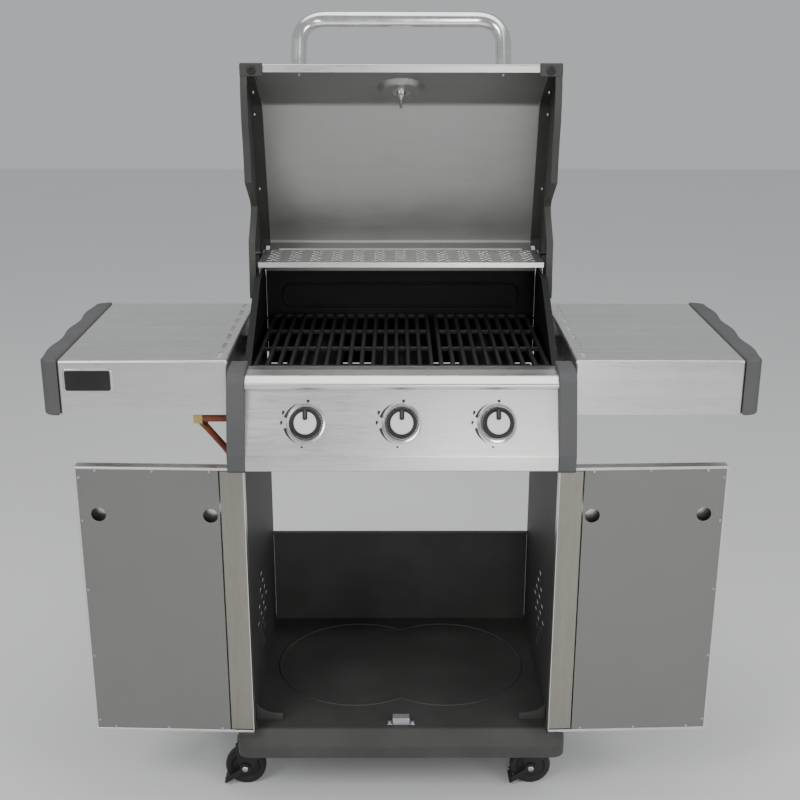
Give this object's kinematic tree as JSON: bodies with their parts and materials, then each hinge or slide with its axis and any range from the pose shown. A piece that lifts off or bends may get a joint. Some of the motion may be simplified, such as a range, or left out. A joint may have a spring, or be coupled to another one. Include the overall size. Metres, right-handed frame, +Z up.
{
  "type": "gas barbecue grill",
  "caption": "Cabinet gas barbecue grill on casters with a hinged lid, open double doors, side shelves and turning control knobs.",
  "frame": {"origin": "middle of the footprint on the floor, measured without the gas hose", "axes": "+Z up, -Y towards the cook (knobs and doors), +X to the cook's right"},
  "size_m": [1.18, 0.565, 1.3733],
  "materials": {
    "stainless": "brushed",
    "liner_steel": "dull",
    "charcoal_paint": "satin",
    "black_enamel": "satin enamel",
    "cast_iron": "seasoned",
    "cap_plastic": "fine grain",
    "black_plastic": "satin",
    "chrome": "polished",
    "zinc_steel": "zinc plated",
    "brass": "satin",
    "hose_rubber": "smooth",
    "regulator_cast": "cast"
  },
  "bodies": {
    "frame": {"base_pan": "charcoal_paint", "rear_panel": "charcoal_paint", "front_crossbar": "charcoal_paint", "side_panel_left": "charcoal_paint", "side_panel_right": "charcoal_paint", "shelf_cap_left": "cap_plastic", "shelf_cap_right": "cap_plastic", "panel_cap_left": "cap_plastic", "panel_cap_right": "cap_plastic", "shelf_left": "stainless", "shelf_right": "stainless", "warming_rack": "stainless", "control_panel": "stainless", "firebox_left_wall": "black_enamel", "firebox_right_wall": "black_enamel", "firebox_front": "black_enamel", "firebox_rear": "black_enamel", "flame_tamer_1": "black_enamel", "flame_tamer_2": "black_enamel", "flame_tamer_3": "black_enamel", "grate_left": "cast_iron", "grate_right": "cast_iron", "burner_1": "zinc_steel", "burner_2": "zinc_steel", "burner_3": "zinc_steel", "lid_hinge_pin_left": "zinc_steel", "lid_hinge_pin_right": "zinc_steel", "door_catch": "zinc_steel", "gas_manifold": "brass", "hose_fitting": "brass", "gas_hose": "hose_rubber", "regulator": "regulator_cast"},
    "lid": {"lid_shell": "stainless", "lid_cheek_left": "charcoal_paint", "lid_cheek_right": "charcoal_paint", "lid_handle": "chrome", "thermometer": "chrome"},
    "door_left": {"door_left_skin": "stainless", "door_left_liner": "liner_steel", "door_left_handle": "chrome"},
    "door_right": {"door_right_skin": "stainless", "door_right_liner": "liner_steel", "door_right_handle": "chrome"},
    "grease_tray": {"grease_tray": "zinc_steel"},
    "valve_stem_1": {"valve_stem_1": "brass"},
    "knob_1": {"knob_1": "black_plastic"},
    "valve_stem_2": {"valve_stem_2": "brass"},
    "knob_2": {"knob_2": "black_plastic"},
    "valve_stem_3": {"valve_stem_3": "brass"},
    "knob_3": {"knob_3": "black_plastic"},
    "caster_front_left": {"caster_fork_front_left": "black_plastic"},
    "wheel_front_left": {"caster_wheel_front_left": "black_plastic"},
    "caster_front_right": {"caster_fork_front_right": "black_plastic"},
    "wheel_front_right": {"caster_wheel_front_right": "black_plastic"},
    "caster_rear_left": {"caster_fork_rear_left": "black_plastic"},
    "wheel_rear_left": {"caster_wheel_rear_left": "black_plastic"},
    "caster_rear_right": {"caster_fork_rear_right": "black_plastic"},
    "wheel_rear_right": {"caster_wheel_rear_right": "black_plastic"},
    "brake_front_left": {"brake_lever_front_left": "black_plastic"},
    "brake_front_right": {"brake_lever_front_right": "black_plastic"}
  },
  "joints": [
    {"name": "lid_hinge", "type": "hinge", "parent": "frame", "child": "lid", "pos_m": [0, 0.17126, 0.94], "axis": [1, 0, 0], "range_deg": [0, 92]},
    {"name": "door_left_hinge", "type": "hinge", "parent": "frame", "child": "door_left", "pos_m": [-0.272, -0.21574, 0.41], "axis": [0, 0, 1], "range_deg": [0, 182]},
    {"name": "door_right_hinge", "type": "hinge", "parent": "frame", "child": "door_right", "pos_m": [0.272, -0.21574, 0.41], "axis": [0, 0, 1], "range_deg": [-182, 0]},
    {"name": "grease_tray_slide", "type": "slide", "parent": "frame", "child": "grease_tray", "axis": [0, 1, 0], "range_m": [0, 0.3]},
    {"name": "knob_1_push", "type": "slide", "parent": "frame", "child": "valve_stem_1", "axis": [0, 0.9278, -0.373], "range_m": [0, 0.004], "stiffness_N_per_m": 1500, "springref_m": -0.002},
    {"name": "knob_1_turn", "type": "hinge", "parent": "valve_stem_1", "child": "knob_1", "pos_m": [-0.153, -0.25004, 0.746], "axis": [0, -0.9278, 0.373], "range_deg": [0, 200]},
    {"name": "knob_2_push", "type": "slide", "parent": "frame", "child": "valve_stem_2", "axis": [0, 0.9278, -0.373], "range_m": [0, 0.004], "stiffness_N_per_m": 1500, "springref_m": -0.002},
    {"name": "knob_2_turn", "type": "hinge", "parent": "valve_stem_2", "child": "knob_2", "pos_m": [0, -0.25004, 0.746], "axis": [0, -0.9278, 0.373], "range_deg": [0, 200]},
    {"name": "knob_3_push", "type": "slide", "parent": "frame", "child": "valve_stem_3", "axis": [0, 0.9278, -0.373], "range_m": [0, 0.004], "stiffness_N_per_m": 1500, "springref_m": -0.002},
    {"name": "knob_3_turn", "type": "hinge", "parent": "valve_stem_3", "child": "knob_3", "pos_m": [0.153, -0.25004, 0.746], "axis": [0, -0.9278, 0.373], "range_deg": [0, 200]},
    {"name": "caster_front_left_swivel", "type": "hinge", "parent": "frame", "child": "caster_front_left", "pos_m": [-0.265, -0.14774, 0.092], "axis": [0, 0, 1], "continuous": true},
    {"name": "wheel_front_left_spin", "type": "hinge", "parent": "caster_front_left", "child": "wheel_front_left", "pos_m": [-0.289, -0.14774, 0.0375], "axis": [0, 1, 0], "continuous": true},
    {"name": "caster_front_right_swivel", "type": "hinge", "parent": "frame", "child": "caster_front_right", "pos_m": [0.265, -0.14774, 0.092], "axis": [0, 0, 1], "continuous": true},
    {"name": "wheel_front_right_spin", "type": "hinge", "parent": "caster_front_right", "child": "wheel_front_right", "pos_m": [0.241, -0.14774, 0.0375], "axis": [0, 1, 0], "continuous": true},
    {"name": "caster_rear_left_swivel", "type": "hinge", "parent": "frame", "child": "caster_rear_left", "pos_m": [-0.265, 0.15626, 0.092], "axis": [0, 0, 1], "continuous": true},
    {"name": "wheel_rear_left_spin", "type": "hinge", "parent": "caster_rear_left", "child": "wheel_rear_left", "pos_m": [-0.289, 0.15626, 0.0375], "axis": [0, 1, 0], "continuous": true},
    {"name": "caster_rear_right_swivel", "type": "hinge", "parent": "frame", "child": "caster_rear_right", "pos_m": [0.265, 0.15626, 0.092], "axis": [0, 0, 1], "continuous": true},
    {"name": "wheel_rear_right_spin", "type": "hinge", "parent": "caster_rear_right", "child": "wheel_rear_right", "pos_m": [0.241, 0.15626, 0.0375], "axis": [0, 1, 0], "continuous": true},
    {"name": "brake_front_left_lift", "type": "hinge", "parent": "caster_front_left", "child": "brake_front_left", "pos_m": [-0.289, -0.14774, 0.0375], "axis": [0, 1, 0], "range_deg": [0, 20]},
    {"name": "brake_front_right_lift", "type": "hinge", "parent": "caster_front_right", "child": "brake_front_right", "pos_m": [0.241, -0.14774, 0.0375], "axis": [0, 1, 0], "range_deg": [0, 20]}
  ]
}
